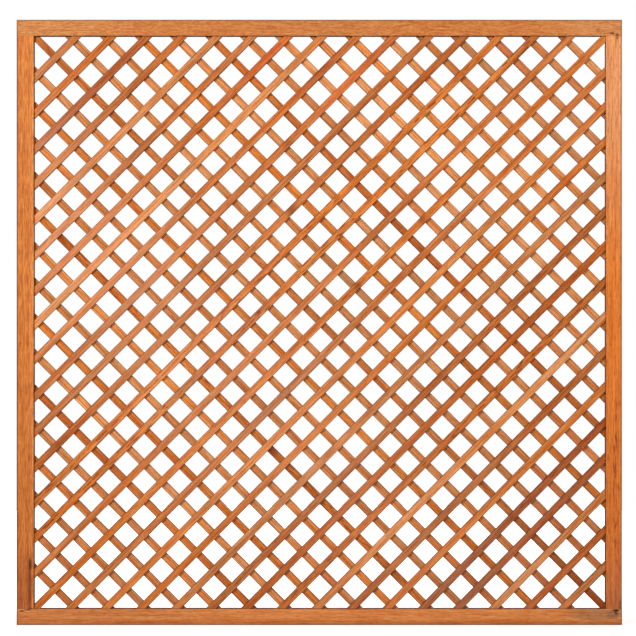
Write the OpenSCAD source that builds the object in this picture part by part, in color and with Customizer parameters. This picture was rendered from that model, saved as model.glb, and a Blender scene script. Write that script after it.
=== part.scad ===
// Framed trellis panel: two layers of slats crossed on the diagonal, held in a grooved frame.
// The front faces -Y and +Z is up. The origin is under the middle of the bottom rail.

/* [Panel] */
// Overall width
panel_w = 1800; // [900:10:2400]
// Overall height
panel_h = 1800; // [900:10:2400]
// Depth of the frame, front to back
frame_d = 28; // [25:1:45]

/* [Frame] */
// Face width of the top and bottom rails
rail_w = 48; // [40:1:90]
// Face width of the left stile
left_stile_w = 51; // [44:1:90]
// Face width of the right stile
right_stile_w = 48; // [44:1:90]
// Radius of the eased long edges
frame_ease = 1.5; // [0.5:0.1:2.5]
// Depth of the groove along the inner edges
groove_depth = 12; // [8:0.5:16]

/* [Lattice] */
// Width of a slat
slat_w = 22; // [15:0.5:30]
// Thickness of a slat
slat_t = 8; // [5:0.5:9]
// Radius of a slat's eased edges
slat_ease = 1; // [0.3:0.1:2]
// Slats in each of the two layers, an odd number
slat_count = 31; // [15:2:31]
// Distance along a rail from a corner of the opening to the middle of the shortest slat
corner_gap = 127.5; // [60:0.5:250]

/* [Corner screws] */
// Diameter of the shank
screw_d = 5; // [4:0.5:6]
// Diameter of the countersunk head
screw_head_d = 10; // [8:0.5:12]
// Height of the head's straight rim
screw_rim = 0.8; // [0.4:0.1:1.5]
// Depth of the head below the rail's edge
screw_sink = 0.5; // [0.2:0.1:3]
// Length that bites into the stile, past its shoulder
screw_bite = 32.5; // [20:0.5:60]
// Length of the pointed tip
screw_tip = 7; // [4:0.5:10]
// Distance between the two screws of a corner
screw_spacing = 18; // [14:1:22]
// Width of the square drive recess in the head
drive_w = 3; // [2:0.1:3.5]
// Depth of the drive recess
drive_depth = 2.4; // [1:0.1:3]

/* [Staples] */
// Outside width of the crown
staple_crown = 5.8; // [4:0.1:10]
// Thickness of the wire
staple_wire = 1.2; // [0.8:0.1:1.6]
// How far the crown stands out of the back of the slats
staple_proud = 0.5; // [0.1:0.1:1]
// Wood left between the tips of the legs and the front of the slats
staple_cover = 2.5; // [1:0.5:5]

/* [Fits] */
// Gap between the lattice and each wall of the groove
groove_clear = 0.25; // [0.1:0.05:0.6]
// Gap between the end of a slat and the bottom of the groove
slat_end_gap = 2; // [0.5:0.5:5]
// Gap between a stub tenon and each wall of the groove
tenon_clear = 0.1; // [0.05:0.05:0.5]
// Gap between the end of a stub tenon and the bottom of the groove
tenon_end_gap = 0.8; // [0.2:0.1:3]
// Gap round a screw's shank and head in the rail
screw_clear = 0.25; // [0.1:0.05:0.6]
// Gap round a screw in the stile
pilot_clear = 0.05; // [0.02:0.01:0.1]
// Depth drilled past the point of a screw
pilot_spare = 2; // [1:0.5:10]

/* [Hidden] */
$fn = 48;
// Cuts start and end this far outside what they cut
past = 1;

// The opening, seen from the front
open_left = -panel_w / 2 + left_stile_w;
open_right = panel_w / 2 - right_stile_w;
open_bottom = rail_w;
open_top = panel_h - rail_w;
open_w = open_right - open_left;
open_h = open_top - open_bottom;
centre_x = (open_left + open_right) / 2;
centre_z = (open_bottom + open_top) / 2;

// The groove and what stands in it
groove_w = 2 * (slat_t + groove_clear);
slat_engage = groove_depth - slat_end_gap;
tenon_t = groove_w - 2 * tenon_clear;
tenon_len = groove_depth - tenon_end_gap;

// Corner screws
screw_len = rail_w - screw_sink + screw_bite;
bore_r = screw_d / 2 + screw_clear;
seat_r = screw_head_d / 2 + screw_clear;
pilot_r = screw_d / 2 + pilot_clear;
left_web_x = -panel_w / 2 + (left_stile_w - groove_depth) / 2;
right_web_x = panel_w / 2 - (right_stile_w - groove_depth) / 2;

// The slats run parallel to the opening's diagonals, so the middle one of a layer ends in two corners.
// The others are counted from it, to reach on either side.
slat_angle = atan2(open_h, open_w);
reach = (slat_count - 1) / 2;
// Distance between neighbours along a rail, along a stile and square to the slats
rail_pitch = (open_w - corner_gap) / reach;
stile_pitch = rail_pitch * open_h / open_w;
slat_step = rail_pitch * sin(slat_angle);
// Long slats have a node each. The short ones share a node with their equals in the opposite corner.
corner_pair_count = 4;
long_reach = reach - corner_pair_count;

rail_tone = "#C8814E";
left_stile_tone = "#CC7E45";
right_stile_tone = "#C06C38";
slat_tones = ["#C57A45", "#B9652F", "#CF8A55", "#A9573A", "#C2703A", "#D08A4E", "#B86A48"];
steel_tone = "#B4B5B2";

function slat_node(layer, index) = str(layer, "_slat_", index + long_reach + 1);
function corner_node(layer, pair) = str(layer, "_corner_slats_", pair);
function slat_tone(layer, index) =
    slat_tones[(index + reach + (layer == "front" ? 0 : slat_count)) % len(slat_tones)];

LAYERS = ["front", "back"];

// A rectangle centred on the origin with its corners eased by true arcs
module eased_rectangle(size, ease) {
    square([size.x, size.y - 2 * ease], center = true);
    square([size.x - 2 * ease, size.y], center = true);
    for (x = [-1, 1], y = [-1, 1])
        translate([x * (size.x / 2 - ease), y * (size.y / 2 - ease)]) circle(ease);
}

// Cross-section of a frame member: outer edge on x = 0, grooved inner edge on x = width
module grooved_section(width) {
    difference() {
        translate([width / 2, 0]) eased_rectangle([width, frame_d], frame_ease);
        translate([width - groove_depth, -groove_w / 2]) square([groove_depth + past, groove_w]);
    }
}

// The children at the four screws that go up through the bottom rail
module at_bottom_screws() {
    for (web_x = [left_web_x, right_web_x], side = [-1, 1])
        translate([web_x + side * screw_spacing / 2, 0, screw_sink]) children();
}

// Half the outline of a screw, from the top of its head down to its point
module screw_outline() {
    shoulder = screw_rim + (screw_head_d - screw_d) / 2;
    polygon([
        [0, 0], [screw_head_d / 2, 0], [screw_head_d / 2, screw_rim], [screw_d / 2, shoulder],
        [screw_d / 2, screw_len - screw_tip], [0, screw_len]
    ]);
}

// The hole that a screw needs in a rail: sunk seat, countersink and clearance bore
module screw_hole() {
    rotate_extrude() polygon([
        [0, -screw_sink - past], [seat_r, -screw_sink - past], [seat_r, screw_rim - screw_clear],
        [bore_r, screw_rim + screw_head_d / 2 - bore_r], [bore_r, rail_w], [0, rail_w]
    ]);
}

// The bottom rail. The top rail is the same piece turned over.
module rail() {
    difference() {
        translate([-panel_w / 2, 0, 0]) rotate([0, -90, 0]) mirror([0, 0, 1])
            linear_extrude(panel_w) grooved_section(rail_w);
        at_bottom_screws() screw_hole();
    }
}

// A stile with its outer edge on x = 0, its groove towards +X and a stub tenon past each shoulder
module stile(width) {
    web = width - groove_depth;
    difference() {
        union() {
            translate([0, 0, open_bottom]) linear_extrude(open_h) grooved_section(width);
            translate([0, -tenon_t / 2, open_bottom - tenon_len])
                cube([web, tenon_t, open_h + 2 * tenon_len]);
        }
        for (top = [0, 1], side = [-1, 1])
            translate([web / 2 + side * screw_spacing / 2, 0, top * panel_h]) mirror([0, 0, top])
                translate([0, 0, open_bottom - tenon_len - past])
                    cylinder(r = pilot_r, h = tenon_len + past + screw_bite + pilot_spare);
    }
}

module top_rail() {
    color(rail_tone) translate([0, 0, panel_h]) mirror([0, 0, 1]) rail();
}

module bottom_rail() {
    color(rail_tone) rail();
}

module left_stile() {
    color(left_stile_tone) translate([-panel_w / 2, 0, 0]) stile(left_stile_w);
}

module right_stile() {
    color(right_stile_tone) translate([panel_w / 2, 0, 0]) mirror([1, 0, 0]) stile(right_stile_w);
}

// Everything that lies inside the outline that the lattice is sawn to
module lattice_block() {
    translate([open_left - slat_engage, -2 * slat_t, open_bottom - slat_engage])
        cube([open_w + 2 * slat_engage, 4 * slat_t, open_h + 2 * slat_engage]);
}

// One slat, counted from the middle of its layer, sawn off at the edges of the lattice
module slat(layer, index) {
    turn = layer == "front" ? -1 : 1;
    length = norm([panel_w, panel_h]);
    color(slat_tone(layer, index)) intersection() {
        lattice_block();
        translate([centre_x, turn * slat_t / 2, centre_z]) rotate([0, turn * slat_angle, 0])
            translate([-length / 2, 0, turn * index * slat_step]) rotate([90, 0, 90])
                linear_extrude(length) eased_rectangle([slat_t, slat_w], slat_ease);
    }
}

// Two equally short slats of one layer, in opposite corners
module corner_slats(layer, pair) {
    for (side = [-1, 1]) slat(layer, side * (long_reach + pair));
}

// A staple's crown and two legs, with the crown's outer face on y = 0
module staple() {
    outer = staple_crown / 2;
    inner = outer - staple_wire;
    leg = 2 * slat_t - staple_cover + staple_proud;
    translate([0, 0, -staple_wire / 2]) linear_extrude(staple_wire) polygon([
        [-outer, 0], [-outer, -leg], [-inner, -leg], [-inner, -staple_wire],
        [inner, -staple_wire], [inner, -leg], [outer, -leg], [outer, 0]
    ]);
}

module staples() {
    margin = staple_crown;
    color(steel_tone) for (front = [-reach : reach], back = [-reach : reach]) {
        x = centre_x + (front + back) * rail_pitch / 2;
        z = centre_z + (back - front) * stile_pitch / 2;
        inside_x = x > open_left + margin && x < open_right - margin;
        inside_z = z > open_bottom + margin && z < open_top - margin;
        if (inside_x && inside_z) translate([x, slat_t + staple_proud, z]) staple();
    }
}

module screw() {
    difference() {
        rotate_extrude() screw_outline();
        translate([-drive_w / 2, -drive_w / 2, -past]) cube([drive_w, drive_w, drive_depth + past]);
    }
}

module corner_screws() {
    color(steel_tone) {
        at_bottom_screws() screw();
        translate([0, 0, panel_h]) mirror([0, 0, 1]) at_bottom_screws() screw();
    }
}

top_rail();
bottom_rail();
left_stile();
right_stile();
for (layer = LAYERS) {
    for (index = [-long_reach : long_reach])
        slat(layer, index);
    for (pair = [1 : corner_pair_count])
        corner_slats(layer, pair);
}
staples();
corner_screws();
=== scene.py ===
"""Dresses the framed trellis panel: worn hardwood slats, an oiled frame, steel and a plain stage."""

import math

import bpy
import numpy as np
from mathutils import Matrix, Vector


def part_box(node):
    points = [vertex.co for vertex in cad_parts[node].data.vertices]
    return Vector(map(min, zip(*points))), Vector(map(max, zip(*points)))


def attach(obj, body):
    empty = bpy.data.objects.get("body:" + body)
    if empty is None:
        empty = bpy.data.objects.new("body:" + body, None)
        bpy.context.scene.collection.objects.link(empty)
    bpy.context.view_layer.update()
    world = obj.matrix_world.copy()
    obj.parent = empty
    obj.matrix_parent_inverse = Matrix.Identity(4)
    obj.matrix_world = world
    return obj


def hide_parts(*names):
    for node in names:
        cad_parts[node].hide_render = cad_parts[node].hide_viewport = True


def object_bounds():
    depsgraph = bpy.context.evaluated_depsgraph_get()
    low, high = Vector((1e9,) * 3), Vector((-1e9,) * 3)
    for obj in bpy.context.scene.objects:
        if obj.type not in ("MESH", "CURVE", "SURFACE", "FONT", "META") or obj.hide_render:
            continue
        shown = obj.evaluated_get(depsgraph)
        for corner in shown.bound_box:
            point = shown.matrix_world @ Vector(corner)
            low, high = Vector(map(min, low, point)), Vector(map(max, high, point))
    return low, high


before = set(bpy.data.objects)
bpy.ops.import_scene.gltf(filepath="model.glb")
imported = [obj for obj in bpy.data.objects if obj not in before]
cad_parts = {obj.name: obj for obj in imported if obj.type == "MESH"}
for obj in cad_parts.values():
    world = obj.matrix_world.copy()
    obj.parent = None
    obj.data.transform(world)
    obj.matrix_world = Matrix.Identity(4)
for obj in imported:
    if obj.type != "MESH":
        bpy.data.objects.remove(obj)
CAD_BOX = [list(corner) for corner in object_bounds()]

bl_info = {
    "name": "Trellis panel",
    "version": (1, 0, 0),
    "blender": (4, 5, 0),
    "location": "View3D > Sidebar > Trellis",
    "description": "Dresses a framed hardwood trellis panel and sets it on a plain stage",
    "category": "Object",
}

MM = 0.001
# Name of the slats' map
SKIN = "skin"
# A slat's index counts from the middle of its layer. The long slats have a node each, and each shorter one
# shares a node with its equal in the opposite corner.
LONG_REACH = 11
CORNER_PAIRS = 4
REACH = LONG_REACH + CORNER_PAIRS


def linear(hex_colour):
    """A linear colour from an sRGB hex value."""
    share = np.array([int(hex_colour[start:start + 2], 16) for start in (1, 3, 5)]) / 255
    return tuple(np.where(share <= 0.04045, share / 12.92, ((share + 0.055) / 1.055) ** 2.4).tolist())


class Lattice:
    """The lattice as the solids have it, read from the frame's boxes."""

    def __init__(self):
        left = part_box("left_stile")[1].x
        self.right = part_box("right_stile")[0].x
        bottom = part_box("bottom_rail")[1].z
        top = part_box("top_rail")[0].z
        middle_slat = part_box("front_slat_12")
        self.low, self.high = (np.array([corner.x, corner.z]) for corner in middle_slat)
        self.slat_t = middle_slat[1].y - middle_slat[0].y
        self.centre = np.array([(left + self.right) / 2, (bottom + top) / 2])
        self.angle = math.atan2(top - bottom, self.right - left)
        # The lowest points of slats 10 and 11, the two before the middle one, give the step. How far the
        # second point lies under its slat's line gives the width.
        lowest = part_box("front_slat_11")[0].z
        self.step = (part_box("front_slat_10")[0].z - lowest) * math.cos(self.angle)
        foot = self.line("front", -1)[0]
        end = foot[1] + (self.low[0] - foot[0]) * math.tan(self.angle)
        self.slat_w = 2 * (end - lowest) * math.cos(self.angle)

    def line(self, layer, index):
        """The foot of a slat, the unit vector along it and the one across it, in x and z."""
        rise = 1 if layer == "front" else -1
        along = np.array([math.cos(self.angle), rise * math.sin(self.angle)])
        across = np.array([math.sin(self.angle), -rise * math.cos(self.angle)])
        return self.centre + index * self.step * across, along, across


LATTICE = Lattice()


def length(name, description, value):
    """A length in metres that a user may change."""
    return bpy.props.FloatProperty(
        name=name, description=description, default=value, min=0.0, precision=5,
        subtype="DISTANCE", unit="LENGTH")


def tone(name, description, hex_colour):
    """A colour that a user may change, given in sRGB hex."""
    return bpy.props.FloatVectorProperty(
        name=name, description=description, default=linear(hex_colour), size=3, min=0.0, max=1.0,
        subtype="COLOR")


def power(name, description, value):
    """A light's power in watts that a user may change."""
    return bpy.props.FloatProperty(
        name=name, description=description, default=value, min=0.0, unit="POWER")


class TrellisLattice(bpy.types.PropertyGroup):
    """How the slats depart from straight, even stock, and the tones that their wood comes in"""

    slat_w: length("Slat width", "Width of a planed slat", LATTICE.slat_w)
    slat_t: length("Slat thickness", "Thickness of a planed slat", LATTICE.slat_t)
    ease: length("Edge ease", "Radius that a slat's edges are eased to", 1 * MM)
    wear: length("Edge wear", "How much the ease varies along a worn edge", 0.5 * MM)
    nick: length("Nicks", "Size of the small knocks along the edges", 1.1 * MM)
    stray: length("Spacing scatter", "Scatter of each slat about its place", 0.3 * MM)
    bow: length("Bow", "Sideways bow of a slat over its length", 0.5 * MM)
    ring_step: length("Ring step", "Distance between the sections that a slat is swept from", 10 * MM)
    seed: bpy.props.IntProperty(name="Seed", description="Start of the random draws", default=11, min=0)
    pale: tone("Pale", "Palest slats", "#DD9051")
    honey: tone("Honey", "Yellowish slats", "#D6884B")
    amber: tone("Amber", "Bright amber slats", "#D78340")
    tan: tone("Tan", "Dull tan slats", "#CB8147")
    orange: tone("Orange", "Clear orange slats", "#D37B35")
    clay: tone("Clay", "Mid orange-brown slats", "#CA793E")
    brown: tone("Brown", "Dull brown slats", "#C2753D")
    copper: tone("Copper", "Deep orange slats", "#C9712C")
    rust: tone("Rust", "Rusty brown slats", "#BD6C32")
    red: tone("Red", "Red-orange slats", "#BE6527")
    dark: tone("Dark", "Dark red-brown slats", "#AF5F30")


class TrellisFrame(bpy.types.PropertyGroup):
    """The tones of the frame's four members and of the steel"""

    top_rail: tone("Top rail", "Tone of the top rail", "#C4783C")
    bottom_rail: tone("Bottom rail", "Tone of the bottom rail", "#DF8A48")
    left_stile: tone("Left stile", "Tone of the left stile", "#CD762E")
    right_stile: tone("Right stile", "Tone of the right stile", "#E67F2C")
    wire: tone("Wire", "Tone of the staples' galvanised wire", "#B4B6B4")
    screw: tone("Screw", "Tone of the screws' zinc plate", "#C2BDA8")


class TrellisStage(bpy.types.PropertyGroup):
    """Light, floor and camera"""

    key: power("Key light", "Power of the soft light at the upper left", 204.0)
    fill: power("Fill light", "Power of the broad light at the upper right", 66.5)
    back: power("Back light", "Power of the broad light behind the panel", 80.0)
    ambient: bpy.props.FloatProperty(
        name="Ambient", description="Level of the light from all round", default=0.28, min=0.0)
    floor: tone("Floor", "Tone of the floor", "#C8C6C2")
    distance: length("Camera distance", "From the camera to the middle of the panel", 6.3)
    view_w: length("View width", "Width that the picture shows at the front of the frame", 1.891)


def add(tree, kind, inputs=None, **settings):
    """A shader node with its settings.

    An input is given a constant, a socket, or a node whose first output feeds it.
    """
    made = tree.nodes.new("ShaderNode" + kind)
    for name, value in settings.items():
        setattr(made, name, value)
    for name, value in (inputs or {}).items():
        source = value.outputs[0] if isinstance(value, bpy.types.Node) else value
        if isinstance(source, bpy.types.NodeSocket):
            tree.links.new(source, made.inputs[name])
        else:
            made.inputs[name].default_value = source
    return made


# Settings that many nodes share. A Map Range node's inputs 1 to 4 are the ends of its two ranges. A Mix node
# of colours takes them at inputs 6 and 7 and gives its result at output 2.
SMOOTH = {"interpolation_type": "SMOOTHSTEP"}
COLOUR = {"data_type": "RGBA"}
MULTIPLY = {"data_type": "RGBA", "blend_type": "MULTIPLY"}
# Most of a noise texture lies between these values
NOISE_LOW, NOISE_HIGH = 0.3, 0.7


def opaque(colour):
    """A colour with full alpha, as colour sockets want it."""
    return (*colour, 1.0)


def new_material(name):
    """An empty node material, its tree and its shader."""
    material = bpy.data.materials.new(name)
    material.use_nodes = True
    tree = material.node_tree
    tree.nodes.clear()
    shader = add(tree, "BsdfPrincipled")
    add(tree, "OutputMaterial", {"Surface": shader})
    return material, tree, shader


def figure(tree, place, along, across, detail=2.0, distortion=0.0):
    """Noise whose marks are about along metres long in the grain's direction and across metres wide."""
    scaled = add(tree, "Mapping", {"Vector": place, "Scale": (1 / along, 1 / across, 1 / across)})
    return add(tree, "TexNoise", {
        "Vector": scaled, "Scale": 1.0, "Detail": detail, "Distortion": distortion})


# Meranti, planed and oiled: warm orange-brown with a ribbon figure that runs from deep orange to pale tan,
# short dark pores along the grain, dark red resin flecks on some boards and a soft satin sheen. Pores are
# about 0.3 mm wide in the wood and are drawn 1 mm wide, because a pixel of the picture covers 3 mm.
# The length along the grain and the width of each kind of mark
RIBBON = (420 * MM, 6 * MM)
STREAK = (75 * MM, 4 * MM)
PORE = (18 * MM, 1 * MM)
FLECK = (36 * MM, 3 * MM)
# The noise at which pores and flecks begin and at which they are whole, how strong the pores' tone is and
# how deep they are
PORE_NOISE = (0.50, 0.72)
FLECK_NOISE = (0.57, 0.65)
PORE_STRENGTH = 0.55
PORE_DEPTH = 0.2 * MM
# What the ground colour is multiplied by in the darkest and in the palest grain, from red to blue
DEEP_GRAIN = (0.78, 0.60, 0.40)
PALE_GRAIN = (1.20, 1.38, 1.66)
# The figure's length, width and range, as meranti() takes them
SLAT_SHAPE = (1.0, 1.0, 0.44)
# The least and the most roughness
SLAT_SATIN = (0.37, 0.47)
FRAME_SATIN = (0.52, 0.66)
OIL_IOR = 1.47
# The shader's specular level
FRAME_SHEEN = 0.2
SLAT_SHEEN = 0.30
SHEEN_TONE = "#FFE7CB"
PORE_TONE = "#A86A4A"
FLECK_TONE = "#7E2E0A"


def meranti(tree, shader, place, ground, flecks, shape, satin):
    """Links oiled meranti to a shader.

    place is the grain's coordinates in metres, along, across and through the board. shape is what the
    figure's length and width are multiplied by, and the range of noise between its darkest and its palest
    grain, which is wide where the wood is calm. satin is the least and the most roughness.
    The ground colour is multiplied by a tint that ribbon and streak noise move from deep to pale, then by a
    darker tone in the pores, and mixed with red in the flecks.
    """
    *stretch, spread = shape
    ribbon = figure(tree, place, *np.multiply(RIBBON, stretch), detail=3.0, distortion=0.4)
    streak = figure(tree, place, *np.multiply(STREAK, stretch))
    pores = figure(tree, place, *PORE)
    resin = figure(tree, place, *FLECK, detail=1.0)
    pore = add(tree, "MapRange", {0: pores, 1: PORE_NOISE[0], 2: PORE_NOISE[1]}, **SMOOTH)
    fleck = add(tree, "MapRange", {0: resin, 1: FLECK_NOISE[0], 2: FLECK_NOISE[1]}, **SMOOTH)
    grain = add(tree, "Math", {0: ribbon, 1: streak}, operation="ADD")
    paleness = add(tree, "MapRange", {0: grain, 1: 1 - spread / 2, 2: 1 + spread / 2})
    tint = add(tree, "Mix", {0: paleness, 6: opaque(DEEP_GRAIN), 7: opaque(PALE_GRAIN)}, **COLOUR)
    tinted = add(tree, "VectorMath", {0: ground, 1: tint.outputs[2]}, operation="MULTIPLY")
    depth = add(tree, "Math", {0: pore, 1: PORE_STRENGTH}, operation="MULTIPLY")
    porous = add(tree, "Mix", {0: depth, 6: tinted, 7: opaque(linear(PORE_TONE))}, **MULTIPLY)
    share = add(tree, "Math", {0: fleck, 1: flecks}, operation="MULTIPLY")
    colour = add(tree, "Mix", {0: share, 6: porous.outputs[2], 7: opaque(linear(FLECK_TONE))}, **COLOUR)
    relief = add(tree, "Math", {0: ribbon, 1: pore}, operation="SUBTRACT")
    bump = add(tree, "Bump", {"Strength": 0.3, "Distance": PORE_DEPTH, "Height": relief})
    rough = add(tree, "MapRange", {0: ribbon, 1: NOISE_LOW, 2: NOISE_HIGH, 3: satin[0], 4: satin[1]})
    tree.links.new(rough.outputs[0], shader.inputs["Roughness"])
    tree.links.new(bump.outputs[0], shader.inputs["Normal"])
    tree.links.new(colour.outputs[2], shader.inputs["Base Color"])
    shader.inputs["IOR"].default_value = OIL_IOR
    shader.inputs["Specular IOR Level"].default_value = FRAME_SHEEN


def slat_wood(name):
    """Oiled meranti for slats: the grain follows each slat, and its tone is the slat's own.

    Its fibres lie along the slat, so light is spread across them and the sheen is a band square to the
    slats: a quarter turn from the map's u, which runs along the slat.
    """
    material, tree, shader = new_material(name)
    grain = add(tree, "Attribute", attribute_name="grain").outputs["Vector"]
    own = add(tree, "Attribute", attribute_name="tone")
    meranti(tree, shader, grain, own.outputs["Color"], own.outputs["Alpha"], SLAT_SHAPE, SLAT_SATIN)
    fibres = add(tree, "Tangent", direction_type="UV_MAP", uv_map=SKIN)
    tree.links.new(fibres.outputs[0], shader.inputs["Tangent"])
    shader.inputs["Anisotropic"].default_value = 1.0
    shader.inputs["Anisotropic Rotation"].default_value = 0.25
    shader.inputs["Specular IOR Level"].default_value = SLAT_SHEEN
    shader.inputs["Specular Tint"].default_value = opaque(linear(SHEEN_TONE))
    return material


# What is particular to each layer. Here slats are counted from the top left in front and from the bottom
# left behind. tones names each slat's tone, the tint after it multiplies them, so that the front's are
# darker and deeper than the back's, and flecked gives the slats with many dark flecks. drift is how far
# the spacing has crept at some of the slats, and lean is how far a slat's ends stand off its line, both in
# mm.
LAYERS = {
    "front": {
        "tones": (
            "brown copper dark rust tan clay clay pale clay clay brown rust orange orange clay orange "
            "clay amber orange tan rust red copper pale rust orange dark dark tan red clay").split(),
        "layer_tint": (0.975, 0.92, 0.92),
        "flecked": {5: 0.5, 12: 0.8, 13: 1.0, 15: 0.4, 20: 0.5, 22: 0.9, 26: 0.9, 27: 0.5, 29: 0.4},
        "drift": {0: -1, 3: 1, 6: 1, 8: -3, 9: 1, 15: 2, 18: -0.5, 21: -2, 24: -3, 27: -2, 29: 0.5},
        "lean": {0: 0, 5: 1, 8: 0, 12: 1, 15: 0, 18: 2.5, 22: 3, 26: 4, 28: 3, 30: 0},
    },
    "back": {
        "tones": (
            "clay clay brown clay clay red honey copper tan amber copper brown clay copper tan rust "
            "tan tan copper tan red clay honey pale amber pale amber tan tan brown pale").split(),
        "layer_tint": (1.02, 1.03, 1.10),
        "flecked": {7: 0.4, 10: 0.9, 13: 0.4, 15: 0.5, 16: 0.4, 20: 0.4},
        "drift": {0: -6, 2: -3, 6: -1, 10: 1, 14: 1, 18: -1.5, 22: -2.5, 24: -0.5, 27: -1.5, 30: 1},
        "lean": {0: 0, 3: 1, 10: 2, 15: 0, 21: 1, 23: -1, 28: -1, 30: 0},
    },
}
PLAIN_FLECKS = 0.15
# What a mark takes away at its strongest, from red to blue: small dark marks, and reddened lengths
CHAR = (1.0, 1.2, 1.35)
REDDEN = (0.4, 1.3, 1.6)
# Marks on slats: layer, slat, place along it from its middle, half length, strength and what it takes away
MARKS = (
    ("front", 5, 0 * MM, 120 * MM, 0.22, CHAR),
    ("front", 6, 440 * MM, 160 * MM, 0.32, REDDEN),
    ("front", 8, 540 * MM, 160 * MM, 0.24, REDDEN),
    ("front", 9, 312 * MM, 16 * MM, 0.35, CHAR),
    ("front", 9, 600 * MM, 180 * MM, 0.26, REDDEN),
    ("front", 10, -100 * MM, 70 * MM, 0.22, CHAR),
    ("front", 11, 178 * MM, 22 * MM, 0.50, CHAR),
    ("front", 15, 156 * MM, 14 * MM, 0.45, CHAR),
    ("front", 15, 431 * MM, 12 * MM, 0.45, CHAR),
    ("back", 8, 560 * MM, 160 * MM, 0.20, REDDEN),
    ("back", 10, 170 * MM, 26 * MM, 0.60, CHAR),
    ("back", 10, -720 * MM, 40 * MM, 0.35, CHAR),
    ("back", 10, 690 * MM, 60 * MM, 0.35, CHAR),
    ("back", 12, 850 * MM, 200 * MM, 0.22, REDDEN),
    ("back", 14, 980 * MM, 220 * MM, 0.20, REDDEN),
    ("back", 15, 1120 * MM, 260 * MM, 0.42, CHAR),
    ("back", 16, 980 * MM, 220 * MM, 0.24, REDDEN),
    ("back", 17, 900 * MM, 220 * MM, 0.20, REDDEN),
    ("back", 19, 760 * MM, 180 * MM, 0.18, REDDEN),
    ("back", 28, -190 * MM, 120 * MM, 0.30, REDDEN),
)

# A slat's section: quarter arcs of four points at its corners, and three points on each wide face that keep
# its shading flat. The eased edges and the narrow sides are darker than the wide faces: painted shade, and
# partly oil that gathers on the edges. The shade is gone at FADE in from an edge, and an eased edge has a
# little less of it than a side.
ARC = np.radians([0, 30, 60, 90])
CORNER_SIGNS = ((1, 1), (-1, 1), (-1, -1), (1, -1))
FADE = 1.5 * MM
NARROW_SIDE_SHADE = np.array([0.34, 0.31, 0.27])
EASED_SHARE = 0.85


def section_table():
    """The points of the section, in order round it.

    Each has its corner, its signs across and through the slat, the cosine and sine of its place on the arc,
    its inset from the edge and its share of the shade.
    """
    rows = []
    for corner, (side, face) in enumerate(CORNER_SIGNS):
        for turn in ARC + corner * math.pi / 2:
            share = 1 - (1 - EASED_SHARE) * abs(math.sin(turn))
            rows.append((corner, side, face, math.cos(turn), math.sin(turn), 0.0, share))
        if corner % 2 == 0:
            rows.append((corner, side, face, 0.0, face, FADE, 0.0))
            rows.append((corner, 0, face, 0.0, face, 0.0, 0.0))
            rows.append((corner + 1, -side, face, 0.0, face, FADE, 0.0))
    return np.array(rows).T


CORNER, SIDE, FACE, COS, SIN, INSET, SHARE = section_table()
CORNER = CORNER.astype(int)
# Each point's colour is multiplied by this: painted shade on the eased edges and narrow sides, partly oil
SHADE = 1 - np.multiply.outer(SHARE, 1 - NARROW_SIDE_SHADE)
SIDES = len(CORNER)

# Scatter of a slat's width, as a share of it, and of its thickness
WIDTH_SCATTER = 0.012
THICKNESS_SCATTER = 0.12 * MM
# What is taken off a bow's height, so that on average the slat stays on its line
BOW_FOOT = 0.6
# How far the rings stand clear of the sawn ends, past half the slat's width
END_CLEAR = 3 * MM
# Steps of the random lines along a slat that its edges' ease and its tone's level and warmth follow
WEAR_STEP = 70 * MM
LEVEL_STEP = 110 * MM
WARMTH_STEP = 150 * MM
# How far the level goes, and how far warmth moves red, green and blue
LEVEL_SCATTER = 0.08
WARMTH_SCATTER = (0.0, 0.05, 0.14)
# Nicks in a metre of edge, the half length of one, and the least of them as a share of the largest
NICKS_PER_METRE = 2.5
NICK_LENGTH = 9 * MM
LEAST_NICK = 0.4
# The least and the most that an edge is eased, nicks and all
EASE_LIMITS = (0.4 * MM, 2.6 * MM)
# Each slat takes its grain from a place of its own, up to this many metres away
GRAIN_SHIFT = 4


def wander(rng, at, step):
    """A smooth random line: normal values every step metres, joined by straight runs."""
    knots = np.arange(at.min() - step, at.max() + 2 * step, step)
    return np.interp(at, knots, rng.normal(size=len(knots)))


def between_slats(given, count):
    """A length in metres at one slat, from lengths in mm that are given at some slats of its layer."""
    return np.interp(count, list(given), list(given.values())) * MM


def slat_line(layer, index, lattice, rng):
    """Where a slat really runs: its ends along its line, its sway across it, and where its points are sawn.

    Sway is a function of the way along: the drift of the spacing, plus scatter, plus a lean that grows
    evenly from the slat's middle, plus a bow of half a cosine wave, which is less on slats under two metres
    long.
    """
    foot, along, across = LATTICE.line(layer, index)
    facts = LAYERS[layer]
    drift = between_slats(facts["drift"], index + REACH)
    lean = between_slats(facts["lean"], index + REACH)
    offset = drift + lattice.stray * rng.normal()

    def reach(p, shift, sign):
        """How far along the slat, from the foot, points at p across it meet the sawn outline."""
        limit = np.where(along * sign > 0, LATTICE.high, LATTICE.low)
        start = foot + np.multiply.outer(p + shift, across)
        return sign * np.min((limit - start) / (along * sign), axis=-1)

    near, far = (float(reach(0.0, offset, sign)) for sign in (-1, 1))
    half = (far - near) / 2
    middle = (far + near) / 2
    bend = lattice.bow * rng.normal() * min(1.0, half)

    def sway(s):
        arch = np.cos(math.pi * (s - middle) / (2 * half)) - BOW_FOOT
        return offset - lean * (s - middle) / half + bend * arch

    return near, far, sway, reach


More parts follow.
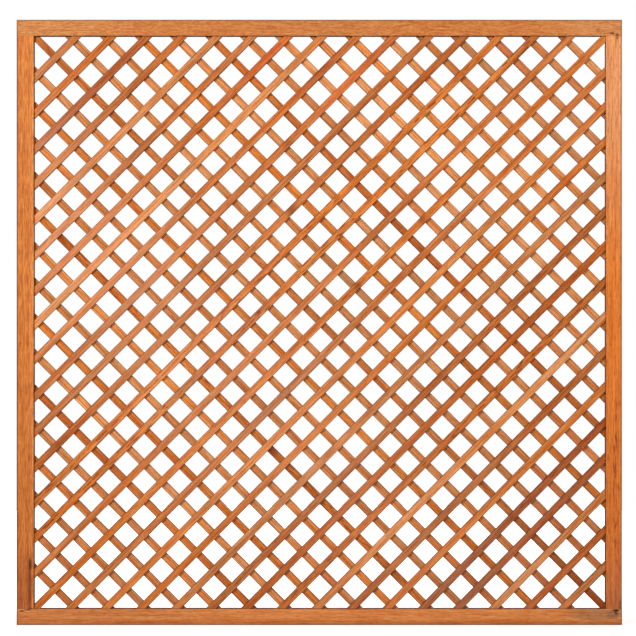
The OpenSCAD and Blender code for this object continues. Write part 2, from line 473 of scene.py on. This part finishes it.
def slat_surface(layer, index, lattice, rng):
    """One slat: an eased rectangle carried along the slat's line.

    A point is foot + s along + (p + sway) across, and q through the depth of its layer. p and q go round the
    rectangle, whose corners are arcs with a radius that wanders along the slat and, on the two outer edges,
    grows at nicks. The first and last rings stop where the lattice is sawn off, so s there depends on p.
    Returns the rings' places, the points, the grain's coordinates, the tones, and the middle ring's p and q.
    """
    foot, along, across = LATTICE.line(layer, index)
    near, far, sway, reach = slat_line(layer, index, lattice, rng)
    half_w = (lattice.slat_w / 2) * (1 + WIDTH_SCATTER * rng.normal())
    thick = lattice.slat_t - THICKNESS_SCATTER * abs(rng.normal())
    clear = half_w + END_CLEAR
    inner = np.linspace(near + clear, far - clear, max(3, round((far - near) / lattice.ring_step)))
    rings = np.concatenate([[near], inner, [far]])

    edges = [lattice.ease + lattice.wear * wander(rng, rings, WEAR_STEP) for _ in CORNER_SIGNS]
    radius = np.stack(edges, axis=1)
    for corner, many in enumerate(rng.poisson(NICKS_PER_METRE * (far - near), size=2)):
        at = rng.uniform(near, far, many)
        size = lattice.nick * rng.uniform(LEAST_NICK, 1.0, many)
        radius[:, corner] += (size * np.exp(-((rings[:, None] - at) / NICK_LENGTH) ** 2)).sum(axis=1)
    radius = np.clip(radius, *EASE_LIMITS)[:, CORNER]

    p = SIDE * (half_w - radius - INSET) + radius * COS
    q = thick / 2 + FACE * (thick / 2 - radius) + radius * SIN
    s = np.repeat(rings[:, None], SIDES, axis=1)
    s[0] = reach(p[0], sway(near), -1)
    s[-1] = reach(p[-1], sway(far), 1)
    flat = foot + s[..., None] * along + (p + sway(s))[..., None] * across
    depth = -q if layer == "front" else q
    points = np.stack([flat[..., 0], depth, flat[..., 1]], axis=-1)

    grain = np.stack([s, p, q], axis=-1) + rng.uniform(-GRAIN_SHIFT, GRAIN_SHIFT, 3)
    colour = slat_tones(layer, index + REACH, rings, lattice, rng)
    middle = len(rings) // 2
    return rings, points, grain, colour, p[middle], q[middle]


def slat_tones(layer, count, rings, lattice, rng):
    """The colour of a slat's points and, as alpha, how strong its flecks are.

    The slat's tone wanders in level and in warmth along it, and is darker at the marks, and on the edges
    with painted shade.
    """
    facts = LAYERS[layer]
    level = 1 + LEVEL_SCATTER * wander(rng, rings, LEVEL_STEP)
    warmth = 1 + np.multiply.outer(wander(rng, rings, WARMTH_STEP), WARMTH_SCATTER)
    layer_toned = np.multiply(getattr(lattice, facts["tones"][count]), facts["layer_tint"])
    along = level[:, None] * warmth * layer_toned
    for mark_layer, mark_count, place, size, strength, taken in MARKS:
        if (mark_layer, mark_count) == (layer, count):
            along *= 1 - np.multiply.outer(strength * np.exp(-((rings - place) / size) ** 2), taken)
    colour = np.empty((len(rings), SIDES, 4))
    # The edges and narrow sides get their painted shade here
    colour[..., :3] = along[:, None, :] * SHADE
    colour[..., 3] = facts["flecked"].get(count, PLAIN_FLECKS)
    return colour


def slat_faces(rings, first):
    """Quads between neighbouring rings, wound outwards, and a fan of triangles round each end's middle."""
    ring, side = np.meshgrid(np.arange(rings - 1), np.arange(SIDES), indexing="ij")
    after = (side + 1) % SIDES
    quads = np.stack([ring * SIDES + side, (ring + 1) * SIDES + side,
                      (ring + 1) * SIDES + after, ring * SIDES + after], axis=-1).reshape(-1, 4)
    around = np.arange(SIDES)
    beside = (around + 1) % SIDES
    start, end = rings * SIDES, rings * SIDES + 1
    last = (rings - 1) * SIDES
    caps = np.concatenate([np.stack([np.full(SIDES, start), around, beside], axis=1),
                           np.stack([np.full(SIDES, end), last + beside, last + around], axis=1)])
    return quads + first, caps + first


# Shares of the map: what a row of skin takes of the width, what stays free beside a row, where the sawn ends
# lie across the map and, for the two ends of a slat, up it. An end's size on the map is limited too.
ROW_SPAN = 0.90
ROW_EDGE = 0.04
END_PLACE = 0.96
END_HEIGHTS = np.array([0.25, 0.75])
MOST_END_SCALE = 4.0


def unrolled(rings, p, q, part, parts):
    """The map of one slat's skin: unrolled, cut into equal lengths and laid in rows, its sawn ends beside.

    u is the way along the row's length and v is the row plus the way round the section, as shares. Slats
    that share a piece share the map, one above the other. Returns u and v of the quads' corners and of the
    caps' corners.
    """
    turn = np.append(np.arange(SIDES), 0)
    girths = np.append(0, np.hypot(np.diff(p[turn]), np.diff(q[turn])).cumsum())
    span = rings[-1] - rings[0]
    rows = max(1, round(math.sqrt(span / (parts * girths[-1]))))
    way = (rings - rings[0]) / span * rows
    row = np.minimum(way[:-1].astype(int), rows - 1)
    u = ROW_SPAN * np.stack([way[:-1] - row, way[1:] - row, way[1:] - row, way[:-1] - row], axis=1)
    round_share = ROW_EDGE + (1 - 2 * ROW_EDGE) * girths / girths[-1]
    v = np.stack([round_share[:-1], round_share[:-1], round_share[1:], round_share[1:]], axis=1)
    quads = np.empty((len(row), SIDES, 4, 2))
    quads[..., 0] = u[:, None, :]
    quads[..., 1] = (part + (row[:, None, None] + v) / rows) / parts

    scale = min(MOST_END_SCALE, (1 - 2 * ROW_EDGE) / (rows * parts * girths[-1]))
    middle = np.full(SIDES, q.mean()), np.zeros(SIDES)
    here, beside = (q, p), (q[turn[1:]], p[turn[1:]])
    caps = np.array([[middle, here, beside], [middle, beside, here]]).transpose(0, 3, 1, 2) * scale
    caps[..., 0] += END_PLACE
    caps[..., 1] += ((part + END_HEIGHTS) / parts)[:, None, None]
    return quads.reshape(-1, 2), caps.reshape(-1, 2)


def slat_mesh(name, points, grains, tones, quads, caps, skin):
    """A mesh from whole arrays: points with their grain and tone, smooth quads, flat caps and the map."""
    mesh = bpy.data.meshes.new(name)
    corners = np.concatenate([quads.ravel(), caps.ravel()])
    starts = np.concatenate([np.arange(len(quads)) * 4, len(quads) * 4 + np.arange(len(caps)) * 3])
    mesh.vertices.add(len(points))
    mesh.vertices.foreach_set("co", points.ravel())
    mesh.loops.add(len(corners))
    mesh.loops.foreach_set("vertex_index", corners)
    mesh.polygons.add(len(starts))
    mesh.polygons.foreach_set("loop_start", starts)
    mesh.polygons.foreach_set("use_smooth", np.arange(len(starts)) < len(quads))
    mesh.update(calc_edges=True)
    mesh.uv_layers.new(name=SKIN).data.foreach_set("uv", skin.ravel())
    mesh.attributes.new("grain", "FLOAT_VECTOR", "POINT").data.foreach_set("vector", grains.ravel())
    mesh.attributes.new("tone", "FLOAT_COLOR", "POINT").data.foreach_set("color", tones.ravel())
    if mesh.validate():
        raise ValueError(f"{name} has faulty faces")
    return mesh


def slat_piece(node, layer, indices, lattice, material, rng):
    """A piece of one or two slats that stands for a node of the solids."""
    points, grains, tones, quads, caps, quad_maps, cap_maps = [], [], [], [], [], [], []
    first = 0
    for part, index in enumerate(indices):
        rings, point, grain, colour, p, q = slat_surface(layer, index, lattice, rng)
        for store, values in ((points, point), (grains, grain), (tones, colour)):
            store.append(values.reshape(-1, values.shape[-1]))
            store.append(values[[0, -1]].mean(axis=1))
        quad, cap = slat_faces(len(rings), first)
        quads.append(quad)
        caps.append(cap)
        quad_map, cap_map = unrolled(rings, p, q, part, len(indices))
        quad_maps.append(quad_map)
        cap_maps.append(cap_map)
        first += len(rings) * SIDES + 2
    name = f"{node}_wood"
    whole = map(np.concatenate, (points, grains, tones, quads, caps, quad_maps + cap_maps))
    mesh = slat_mesh(name, *whole)
    mesh.materials.append(material)
    piece = bpy.data.objects.new(name, mesh)
    bpy.context.scene.collection.objects.link(piece)
    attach(piece, "root")
    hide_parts(node)


def slat_layer(layer, lattice):
    """All the slats of a layer: a piece for each long slat and one for each pair in opposite corners."""
    material = slat_wood(f"Oiled meranti, {layer} slats")
    rng = np.random.default_rng(lattice.seed + len(layer))
    for index in range(-LONG_REACH, LONG_REACH + 1):
        slat_piece(f"{layer}_slat_{index + LONG_REACH + 1}", layer, [index], lattice, material, rng)
    for pair in range(1, CORNER_PAIRS + 1):
        far = LONG_REACH + pair
        slat_piece(f"{layer}_corner_slats_{pair}", layer, [-far, far], lattice, material, rng)


class TRELLIS_OT_front_slats(bpy.types.Operator):
    """Sweep the slats that rise to the right, in front"""

    bl_idname = "trellis.front_slats"
    bl_label = "Front slats"

    def execute(self, context):
        slat_layer("front", context.scene.trellis_lattice)
        return {"FINISHED"}


class TRELLIS_OT_back_slats(bpy.types.Operator):
    """Sweep the slats that fall to the right, behind"""

    bl_idname = "trellis.back_slats"
    bl_label = "Back slats"

    def execute(self, context):
        slat_layer("back", context.scene.trellis_lattice)
        return {"FINISHED"}


# The front face and its corners, in x and z
FACE_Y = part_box("top_rail")[0].y
(LEFT_X, _, BOTTOM_Z), (RIGHT_X, _, TOP_Z) = CAD_BOX
TOP_LEFT, TOP_RIGHT = (LEFT_X, TOP_Z), (RIGHT_X, TOP_Z)
BOTTOM_LEFT, BOTTOM_RIGHT = (LEFT_X, BOTTOM_Z), (RIGHT_X, BOTTOM_Z)
# Reach in mm of a tone that covers a member's width or depth, and how deep a mark on its face goes
WIDE = 200
DEEP = 20
# Marks on the frame, each over those before it: member, corner that the mark is measured from, how far right
# of it and above it the mark's centre is, reach to the right, inwards and up, tone, strength and, where the
# grain breaks the mark up, the length and width of its flecks and the noise that they start at. Lengths are
# in mm.
FRAME_MARKS = (
    # Slow changes of tone along the members, among them painted light, painted sheen and painted shade,
    # and the bottom rail's darker lower edge
    # Painted light: the top rail's right half brighter, where the key light is weaker
    ("top_rail", TOP_RIGHT, (-200, -24), (700, WIDE, WIDE), "#CE8040", 0.90, None),
    # Painted sheen at the top rail's left end
    ("top_rail", TOP_LEFT, (0, -24), (450, WIDE, WIDE), "#C48245", 0.60, None),
    ("top_rail", TOP_LEFT, (500, -24), (350, WIDE, WIDE), "#C17131", 0.50, None),
    ("top_rail", TOP_RIGHT, (-450, -24), (300, WIDE, WIDE), "#C67133", 0.50, None),
    # Painted sheen at the top rail's right end
    ("top_rail", TOP_RIGHT, (0, -24), (250, WIDE, WIDE), "#D58E53", 0.60, None),
    ("bottom_rail", BOTTOM_LEFT, (0, 24), (900, WIDE, WIDE), "#C57A40", 0.60, None),
    ("bottom_rail", BOTTOM_LEFT, (900, 4), (2600, WIDE, 16), "#BF6826", 0.70, None),
    # Painted shade: the left stile darker towards the bottom
    ("left_stile", BOTTOM_LEFT, (24, 0), (WIDE, WIDE, 850), "#B26028", 0.32, None),
    ("left_stile", BOTTOM_LEFT, (24, 50), (WIDE, WIDE, 220), "#984626", 0.42, None),
    # Painted sheen on the right stile's top
    ("right_stile", TOP_RIGHT, (-24, 0), (WIDE, WIDE, 800), "#EE9F64", 0.85, None),
    # Painted shade: the right stile darker towards the bottom
    ("right_stile", BOTTOM_RIGHT, (-24, 0), (WIDE, WIDE, 850), "#C6682E", 0.38, None),
    ("right_stile", BOTTOM_RIGHT, (-12, 50), (50, WIDE, 260), "#CE7440", 0.70, None),
    ("right_stile", BOTTOM_RIGHT, (-24, 48), (WIDE, WIDE, 90), "#B86A37", 0.50, None),
    # Pale edge and dark streak of the left stile, and the dashes down the right one
    ("left_stile", BOTTOM_LEFT, (48, 900), (10, DEEP, 1600), "#E08C48", 0.55, None),
    ("left_stile", BOTTOM_LEFT, (39, 110), (8, DEEP, 110), "#7E3C18", 0.85, (90, 6, 0.32)),
    ("left_stile", BOTTOM_LEFT, (40, 180), (6, DEEP, 28), "#4A220E", 0.90, None),
    ("right_stile", BOTTOM_RIGHT, (-18, 434), (13, DEEP, 360), "#96401A", 0.90, (30, 6, 0.52)),
    # Knots at the top right joint
    ("top_rail", TOP_RIGHT, (-71, -31), (9, DEEP, 8), "#96502A", 0.60, None),
    ("top_rail", TOP_RIGHT, (-29, -40.4), (9, DEEP, 3.6), "#402214", 0.90, None),
    ("top_rail", TOP_RIGHT, (-14, -45.5), (6, DEEP, 7.5), "#7A3212", 0.90, None),
    ("right_stile", TOP_RIGHT, (-14, -52), (6, DEEP, 10), "#9E4A20", 0.80, None),
    # Cracks at the bottom left joint
    ("bottom_rail", BOTTOM_LEFT, (16, 41.8), (13, DEEP, 3), "#2A160C", 0.90, None),
    ("bottom_rail", BOTTOM_LEFT, (34, 45.6), (15, DEEP, 2.6), "#3A2014", 0.85, None),
    ("left_stile", BOTTOM_LEFT, (42, 49.5), (10, DEEP, 3), "#3A2014", 0.85, None),
    # Grey weathering and black stain at the bottom right joint
    ("bottom_rail", BOTTOM_RIGHT, (-80, 32), (110, DEEP, 30), "#A4754E", 0.60, None),
    ("bottom_rail", BOTTOM_RIGHT, (-27, 31), (26, DEEP, 20), "#80604A", 0.62, (30, 10, 0.32)),
    ("bottom_rail", BOTTOM_RIGHT, (-17, 36.5), (9, DEEP, 9), "#3C2A20", 0.90, (12, 5, 0.36)),
    ("bottom_rail", BOTTOM_RIGHT, (-17.5, 43.8), (15, DEEP, 4), "#120C08", 1.00, None),
    ("right_stile", BOTTOM_RIGHT, (-2, 56), (13, DEEP, 30), "#6A4028", 0.60, None),
)
# Share of a mark's reach within which it is whole, and how soon its flecks are whole, in noise
MARK_CORE = 0.35
FLECK_STEP = 0.14
FRAME_FLECKS = {"top_rail": 0.15, "bottom_rail": 0.20, "left_stile": 0.35, "right_stile": 0.40}
# The rails are cut so that their figure is short and mottled, and all four are calmer than the slats
FRAME_SHAPE = {
    "top_rail": (0.15, 0.8, 0.56), "bottom_rail": (0.5, 0.8, 0.60), "left_stile": (0.5, 0.9, 0.48),
    "right_stile": (0.9, 0.8, 0.74)}
# What the ground colour is multiplied by on the rails' sawn ends, which soak up more oil
END_GRAIN_TONE = "#C8BEB4"
# Dirt and painted shade darken the frame's outer edges, on some members more than on others. Its inner
# faces and its groove get a redder painted shade, and there is less of it where a rail meets a stile. A rim
# is how far from an edge the darkening holds and ends.
DIRT_AND_SHADE_TONE = "#50301C"
GROOVE_SHADE_TONE = "#481C0C"
OUTER_DIRT_AND_SHADE = {"top_rail": 0.50, "bottom_rail": 0.60, "left_stile": 0.90, "right_stile": 0.50}
INNER_SHADE = 0.92
JOINT_SHARE = 0.35
JOINT_FADE = 1 * MM
OUTER_RIM = (2.0 * MM, 4.8 * MM)
INNER_RIM = (0.1 * MM, 0.7 * MM)
# Just past the groove's wall, measured from the middle of the panel's depth
GROOVE_Y = LATTICE.slat_t + 0.5 * MM


def spot(tree, where, centre, reach):
    """A mask that is one at a point of the panel and falls to nothing at reach, an ellipsoid's half axes."""
    inverse = tuple(1 / r for r in reach)
    offset = tuple(-c / r for c, r in zip(centre, reach))
    scaled = add(tree, "Mapping", {"Vector": where, "Location": offset, "Scale": inverse})
    radius = add(tree, "VectorMath", {0: scaled}, operation="LENGTH").outputs["Value"]
    return add(tree, "MapRange", {0: radius, 1: MARK_CORE, 2: 1.0, 3: 1.0, 4: 0.0}, **SMOOTH)


def rim(tree, value, edge, reach, strength=1.0):
    """A mask with its strength where a coordinate is at an edge, which falls to nothing within reach."""
    away = add(tree, "Math", {0: value, 1: edge}, operation="SUBTRACT")
    gap = add(tree, "Math", {0: away}, operation="ABSOLUTE")
    return add(tree, "MapRange", {0: gap, 1: reach[0], 2: reach[1], 3: strength, 4: 0.0}, **SMOOTH)


def marked(tree, member, where, grain, ground):
    """A frame member's ground colour with its marks mixed into it."""
    for owner, corner, (right, up), reach, mark, strength, flecks in FRAME_MARKS:
        if owner != member:
            continue
        centre = (corner[0] + right * MM, FACE_Y, corner[1] + up * MM)
        mask = spot(tree, where, centre, [size * MM for size in reach])
        share = add(tree, "Math", {0: mask, 1: strength}, operation="MULTIPLY")
        if flecks:
            along, across, start = flecks
            noise = figure(tree, grain, along * MM, across * MM)
            broken = add(tree, "MapRange", {0: noise, 1: start, 2: start + FLECK_STEP}, **SMOOTH)
            share = add(tree, "Math", {0: share, 1: broken}, operation="MULTIPLY")
        ground = add(tree, "Mix", {0: share, 6: ground, 7: opaque(linear(mark))}, **COLOUR).outputs[2]
    return ground


def frame_wood(member, own_tone):
    """Oiled meranti for a frame member: grain along it, marks, darker edges and groove, and sawn ends.

    The outer edges are darkened by dirt and painted shade, the inner faces and the groove by painted shade.
    """
    material, tree, shader = new_material(f"Oiled meranti, {member.replace('_', ' ')}")
    where = add(tree, "TexCoord").outputs["Object"]
    x, y, z = add(tree, "SeparateXYZ", {0: where}).outputs
    low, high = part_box(member)
    lies = member.endswith("rail")
    along, across = (x, z) if lies else (z, x)
    sides = (low.z, high.z) if lies else (low.x, high.x)
    outer, inner = sides if member in ("bottom_rail", "left_stile") else reversed(sides)
    grain = add(tree, "CombineXYZ", {0: along, 1: across, 2: y})
    ground = marked(tree, member, where, grain, opaque(own_tone))

    through = add(tree, "Math", {0: y}, operation="ABSOLUTE")
    outward = add(tree, "Math", {0: x}, operation="ABSOLUTE")
    # The outer edges darken with dirt and painted shade
    edge = rim(tree, across, outer, OUTER_RIM)
    if lies:
        sawn = rim(tree, outward, high.x, INNER_RIM)
        end_grain = opaque(linear(END_GRAIN_TONE))
        ground = add(tree, "Mix", {0: sawn, 6: ground, 7: end_grain}, **MULTIPLY).outputs[2]
        end = rim(tree, outward, high.x, OUTER_RIM)
        edge = add(tree, "Math", {0: edge, 1: end}, operation="MAXIMUM")
    front = rim(tree, through, high.y, OUTER_RIM, OUTER_DIRT_AND_SHADE[member])
    arris = add(tree, "Math", {0: edge, 1: front}, operation="MULTIPLY")

    # Painted shade on the inner faces and in the groove
    inside = add(tree, "MapRange", {0: across, 1: outer, 2: inner, 4: INNER_SHADE})
    wall = GROOVE_Y + INNER_RIM[1]
    groove = add(tree, "MapRange", {0: through, 1: GROOVE_Y, 2: wall, 3: inside, 4: 0.0})
    face = rim(tree, across, inner, INNER_RIM, INNER_SHADE)
    inner_shade = add(tree, "Math", {0: face, 1: groove}, operation="MAXIMUM")
    if lies:
        joint = LATTICE.right + JOINT_FADE
        opening = add(tree, "MapRange", {0: outward, 1: LATTICE.right, 2: joint, 3: 1.0, 4: JOINT_SHARE})
        inner_shade = add(tree, "Math", {0: inner_shade, 1: opening}, operation="MULTIPLY")

    # Mix in the outer edges' dirt and painted shade, then the painted shade inside
    for share, soil_and_shade in ((arris, DIRT_AND_SHADE_TONE), (inner_shade, GROOVE_SHADE_TONE)):
        ground = add(tree, "Mix", {0: share, 6: ground, 7: opaque(linear(soil_and_shade))}, **COLOUR).outputs[2]
    meranti(tree, shader, grain, ground, FRAME_FLECKS[member], FRAME_SHAPE[member], FRAME_SATIN)
    return material


def dress(node, material):
    """Gives a node of the solids its material in every slot."""
    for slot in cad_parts[node].material_slots:
        slot.material = material


class TRELLIS_OT_frame_members(bpy.types.Operator):
    """Give the rails and stiles their oiled wood"""

    bl_idname = "trellis.frame_members"
    bl_label = "Frame members"

    def execute(self, context):
        tones = context.scene.trellis_frame
        for member in ("top_rail", "bottom_rail", "left_stile", "right_stile"):
            dress(member, frame_wood(member, tuple(getattr(tones, member))))
        return {"FINISHED"}


# What the zinc's colour is multiplied by in its darkest and palest crystals, and what they add to its
# roughness
ZINC_LEVELS = (0.80, 1.08)
ZINC_GLOSS = (-0.08, 0.10)


def zinc(name, ground, grain, rough):
    """Zinc on steel: a grey metal whose crystals differ a little in tone and gloss, grain metres across."""
    material, tree, shader = new_material(name)
    where = add(tree, "TexCoord").outputs["Object"]
    crystal = add(tree, "TexNoise", {"Vector": where, "Scale": 1 / grain, "Detail": 2.0})
    dim, bright = ZINC_LEVELS
    level = add(tree, "MapRange", {0: crystal, 1: NOISE_LOW, 2: NOISE_HIGH, 3: dim, 4: bright})
    shaded = add(tree, "VectorMath", {0: ground, "Scale": level}, operation="SCALE")
    least, most = (rough + change for change in ZINC_GLOSS)
    gloss = add(tree, "MapRange", {0: crystal, 1: NOISE_LOW, 2: NOISE_HIGH, 3: least, 4: most})
    tree.links.new(shaded.outputs[0], shader.inputs["Base Color"])
    tree.links.new(gloss.outputs[0], shader.inputs["Roughness"])
    shader.inputs["Metallic"].default_value = 1.0
    return material


class TRELLIS_OT_staples(bpy.types.Operator):
    """Give the staples their galvanised wire"""

    bl_idname = "trellis.staples"
    bl_label = "Staples"

    def execute(self, context):
        # Galvanised wire: dull grey, mottled by its zinc crystals
        wire = tuple(context.scene.trellis_frame.wire)
        dress("staples", zinc("Galvanised wire", wire, grain=1.5 * MM, rough=0.45))
        return {"FINISHED"}


class TRELLIS_OT_corner_screws(bpy.types.Operator):
    """Give the corner screws their zinc plate"""

    bl_idname = "trellis.corner_screws"
    bl_label = "Corner screws"

    def execute(self, context):
        # Bright zinc plate: smoother than galvanising, with a faint warm cast
        screw = tuple(context.scene.trellis_frame.screw)
        dress("corner_screws", zinc("Zinc-plated steel", screw, grain=3 * MM, rough=0.30))
        return {"FINISHED"}


def seen(tree):
    """One for the rays that show the background: from the camera, from mirrors and through clear things."""
    path = add(tree, "LightPath").outputs
    direct = add(tree, "Math", {0: path["Is Camera Ray"], 1: path["Is Glossy Ray"]}, operation="MAXIMUM")
    return add(tree, "Math", {0: direct, 1: path["Is Transmission Ray"]}, operation="MAXIMUM")


WHITE = (1.0, 1.0, 1.0, 1.0)
FLOOR_RADIUS = 4.0
FLOOR_SIDES = 96
FLOOR_DROP = 0.5 * MM
# The floor's glow beside the panel, and the distances from it over which the glow rises to white
FLOOR_GLOW = 0.68
GLOW_NEAR = 0.05
GLOW_FAR = 0.48
# Each light's name, place, target and width. Key and fill face points above the panel, so that less light
# falls on its lower part. The back light faces the panel's middle.
LIGHTS = (
    ("Key", (-2.65, -4.3, 2.72), (0.6, 0.0, 2.6), 0.6),
    ("Fill", (2.4, -4.6, 2.77), (0.0, 0.0, 2.6), 3.0),
    ("Back", (1.2, 4.8, 2.2), (0.0, 0.0, 0.9), 3.0),
)
# The camera stands a little left of the panel's middle and above its centre, and looks straight ahead
EYE_X = -3.9 * MM
EYE_Z = 913 * MM
SENSOR_W = 36.0


def floor_finish(own_tone):
    """Matt pale floor that takes the shadow.

    Seen directly it glows, more so away from the panel, so that it meets the white behind it without a line.
    """
    material, tree, shader = new_material("Pale matt floor")
    shader.inputs["Base Color"].default_value = opaque(own_tone)
    shader.inputs["Roughness"].default_value = 0.9
    shader.inputs["Specular IOR Level"].default_value = 0.1
    shader.inputs["Emission Color"].default_value = WHITE
    x, y, _ = add(tree, "SeparateXYZ", {0: add(tree, "TexCoord").outputs["Object"]}).outputs
    ahead = add(tree, "Math", {0: y}, operation="ABSOLUTE")
    beside = add(tree, "Math", {0: x}, operation="ABSOLUTE")
    past_end = add(tree, "Math", {0: beside, 1: RIGHT_X}, operation="SUBTRACT")
    away = add(tree, "Math", {0: ahead, 1: past_end}, operation="MAXIMUM")
    level = add(tree, "MapRange", {0: away, 1: GLOW_NEAR, 2: GLOW_FAR, 3: FLOOR_GLOW, 4: 1.0}, **SMOOTH)
    glow = add(tree, "Math", {0: seen(tree), 1: level}, operation="MULTIPLY")
    tree.links.new(glow.outputs[0], shader.inputs["Emission Strength"])
    return material


def floor_disc(material):
    """A flat disc just under the panel: points at even turns round a circle, joined by one face."""
    turn = np.linspace(0, math.tau, FLOOR_SIDES, endpoint=False)
    rim_x, rim_y = FLOOR_RADIUS * np.cos(turn), FLOOR_RADIUS * np.sin(turn)
    points = np.stack([rim_x, rim_y, np.full(FLOOR_SIDES, -FLOOR_DROP)], axis=1)
    mesh = bpy.data.meshes.new("floor")
    mesh.from_pydata(points.tolist(), [], [list(range(FLOOR_SIDES))])
    mesh.materials.append(material)
    floor = bpy.data.objects.new("floor", mesh)
    bpy.context.scene.collection.objects.link(floor)


def studio_world(ambient):
    """A world that is white where it is seen and lights the panel evenly at a lower level."""
    world = bpy.data.worlds.new("Plain studio")
    world.use_nodes = True
    tree = world.node_tree
    tree.nodes.clear()
    level = add(tree, "MapRange", {0: seen(tree), 3: ambient, 4: 1.0})
    ground = add(tree, "Background", {"Color": WHITE, "Strength": level})
    add(tree, "OutputWorld", {"Surface": ground})
    return world


def area_light(name, watts, place, target, size):
    """A square light at a place, facing a target."""
    lamp = bpy.data.lights.new(name, "AREA")
    lamp.energy = watts
    lamp.size = size
    holder = bpy.data.objects.new(name, lamp)
    direction = np.subtract(target, place)
    tilt = math.acos(-direction[2] / np.linalg.norm(direction))
    holder.location = place
    holder.rotation_euler = (tilt, 0, math.atan2(direction[1], direction[0]) - math.pi / 2)
    bpy.context.scene.collection.objects.link(holder)


def front_camera(distance, view_w):
    """A camera that faces the panel and sees a given width of it."""
    camera = bpy.data.cameras.new("Camera")
    camera.sensor_width = SENSOR_W
    camera.lens = SENSOR_W * (distance + FACE_Y) / view_w
    holder = bpy.data.objects.new("Camera", camera)
    holder.location = (EYE_X, -distance, EYE_Z)
    holder.rotation_euler = (math.pi / 2, 0, 0)
    bpy.context.scene.collection.objects.link(holder)
    return holder


class TRELLIS_OT_stage(bpy.types.Operator):
    """Set up the floor, the light and the camera"""

    bl_idname = "trellis.stage"
    bl_label = "Stage"

    def execute(self, context):
        scene = context.scene
        stage = scene.trellis_stage
        scene.view_settings.view_transform = "Standard"
        floor_disc(floor_finish(stage.floor))
        scene.world = studio_world(stage.ambient)
        for name, place, target, size in LIGHTS:
            area_light(name, getattr(stage, name.lower()), place, target, size)
        scene.camera = front_camera(stage.distance, stage.view_w)
        return {"FINISHED"}


OPERATORS = (
    TRELLIS_OT_front_slats, TRELLIS_OT_back_slats, TRELLIS_OT_frame_members, TRELLIS_OT_staples,
    TRELLIS_OT_corner_screws, TRELLIS_OT_stage)


class TRELLIS_PT_panel(bpy.types.Panel):
    """Lists the steps that dress the panel, and their settings"""

    bl_idname = "TRELLIS_PT_panel"
    bl_label = "Trellis panel"
    bl_space_type = "VIEW_3D"
    bl_region_type = "UI"
    bl_category = "Trellis"

    def draw(self, context):
        scene = context.scene
        for operator in OPERATORS:
            self.layout.operator(operator.bl_idname)
        for group in (scene.trellis_lattice, scene.trellis_frame, scene.trellis_stage):
            column = self.layout.column()
            for name in group.__annotations__:
                column.prop(group, name)


GROUPS = {"trellis_lattice": TrellisLattice, "trellis_frame": TrellisFrame, "trellis_stage": TrellisStage}


def register():
    """Adds the classes, and each group of settings to the scene."""
    for group in GROUPS.values():
        bpy.utils.register_class(group)
    for name, group in GROUPS.items():
        setattr(bpy.types.Scene, name, bpy.props.PointerProperty(type=group))
    for operator in OPERATORS:
        bpy.utils.register_class(operator)
    bpy.utils.register_class(TRELLIS_PT_panel)


def unregister():
    """Takes away what register adds."""
    bpy.utils.unregister_class(TRELLIS_PT_panel)
    for operator in reversed(OPERATORS):
        bpy.utils.unregister_class(operator)
    for name in GROUPS:
        delattr(bpy.types.Scene, name)
    for group in reversed(GROUPS.values()):
        bpy.utils.unregister_class(group)


def main():
    """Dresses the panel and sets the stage."""
    register()
    bpy.ops.trellis.front_slats()
    bpy.ops.trellis.back_slats()
    bpy.ops.trellis.frame_members()
    bpy.ops.trellis.staples()
    bpy.ops.trellis.corner_screws()
    bpy.ops.trellis.stage()


if __name__ == "__main__":
    main()
